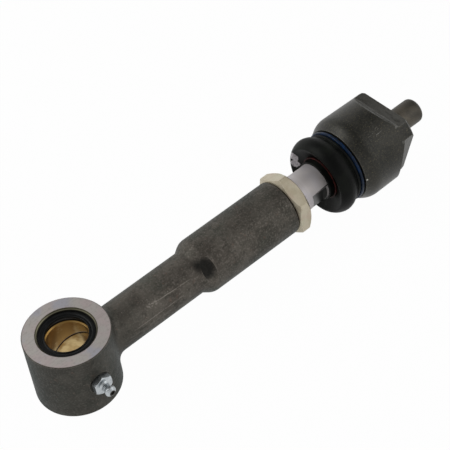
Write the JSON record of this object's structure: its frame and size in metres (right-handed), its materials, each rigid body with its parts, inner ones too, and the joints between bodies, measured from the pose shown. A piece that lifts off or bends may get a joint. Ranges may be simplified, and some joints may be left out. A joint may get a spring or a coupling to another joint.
{
  "type": "tie rod",
  "caption": "Steering tie rod: forged eye end with a bronze bush and lip seals, threaded ball stud with jam nut, boot and axial ball joint with a pin",
  "frame": {"origin": "centre of the eye's bore, halfway between the eye's two faces", "axes": "+Z along the eye's bore, +X along the rod towards the ball joint's pin; the grease nipple points to -Y"},
  "size_m": [0.2955, 0.0629, 0.0552],
  "materials": {
    "forged_steel": "rough",
    "housing_steel": "satin",
    "bright_steel": "satin",
    "nut_zinc": "satin",
    "zinc_steel": "bright",
    "bush_bronze": "satin",
    "seal_rubber": "satin",
    "boot_rubber": "satin",
    "seat_plastic": "matt",
    "ring_blue": "gloss",
    "ring_red": "satin"
  },
  "bodies": {
    "forging": {"eye_forging": "forged_steel", "eye_bush": "bush_bronze", "upper_seal": "seal_rubber", "lower_seal": "seal_rubber", "grease_nipple": "zinc_steel", "nipple_spring": "bright_steel"},
    "nipple_ball": {"nipple_ball": "bright_steel"},
    "jam_nut": {"jam_nut": "nut_zinc"},
    "neck_ring": {"boot_neck_ring": "ring_red"},
    "ball_stud": {"ball_stud": "bright_steel"},
    "boot": {"boot": "boot_rubber"},
    "seat": {"front_seat": "seat_plastic", "rear_seat": "seat_plastic"},
    "housing": {"housing": "housing_steel", "retaining_ring": "bright_steel", "seat_spring": "bright_steel", "boot_clamp_ring": "ring_blue"}
  },
  "joints": [
    {"name": "valve_slide", "type": "slide", "parent": "forging", "child": "nipple_ball", "axis": [0, 1, 0], "range_m": [0, 0.0008], "stiffness_N_per_m": 600, "springref_m": -0.001, "deforming": ["nipple_spring"]},
    {"name": "nut_turn", "type": "hinge", "parent": "forging", "child": "jam_nut", "pos_m": [0.161, 0, 0], "axis": [1, 0, 0], "continuous": true},
    {"name": "length_adjust", "type": "slide", "parent": "forging", "child": "neck_ring", "axis": [1, 0, 0], "range_m": [0, 0.015]},
    {"name": "stud_turn", "type": "hinge", "parent": "neck_ring", "child": "ball_stud", "pos_m": [0.17, 0, 0], "axis": [1, 0, 0], "range_deg": [0, 3610]},
    {"name": "swing_direction", "type": "hinge", "parent": "neck_ring", "child": "boot", "pos_m": [0.218, 0, 0], "axis": [1, 0, 0], "continuous": true},
    {"name": "swing", "type": "hinge", "parent": "boot", "child": "seat", "pos_m": [0.218, 0, 0], "axis": [0, 1, 0], "range_deg": [-25, 25], "deforming": ["boot"]},
    {"name": "housing_turn", "type": "hinge", "parent": "seat", "child": "housing", "pos_m": [0.218, 0, 0], "axis": [1, 0, 0], "continuous": true}
  ],
  "couplings": [
    {"joint": "stud_turn", "follows": "length_adjust", "rad_per_m": 4188.8}
  ]
}
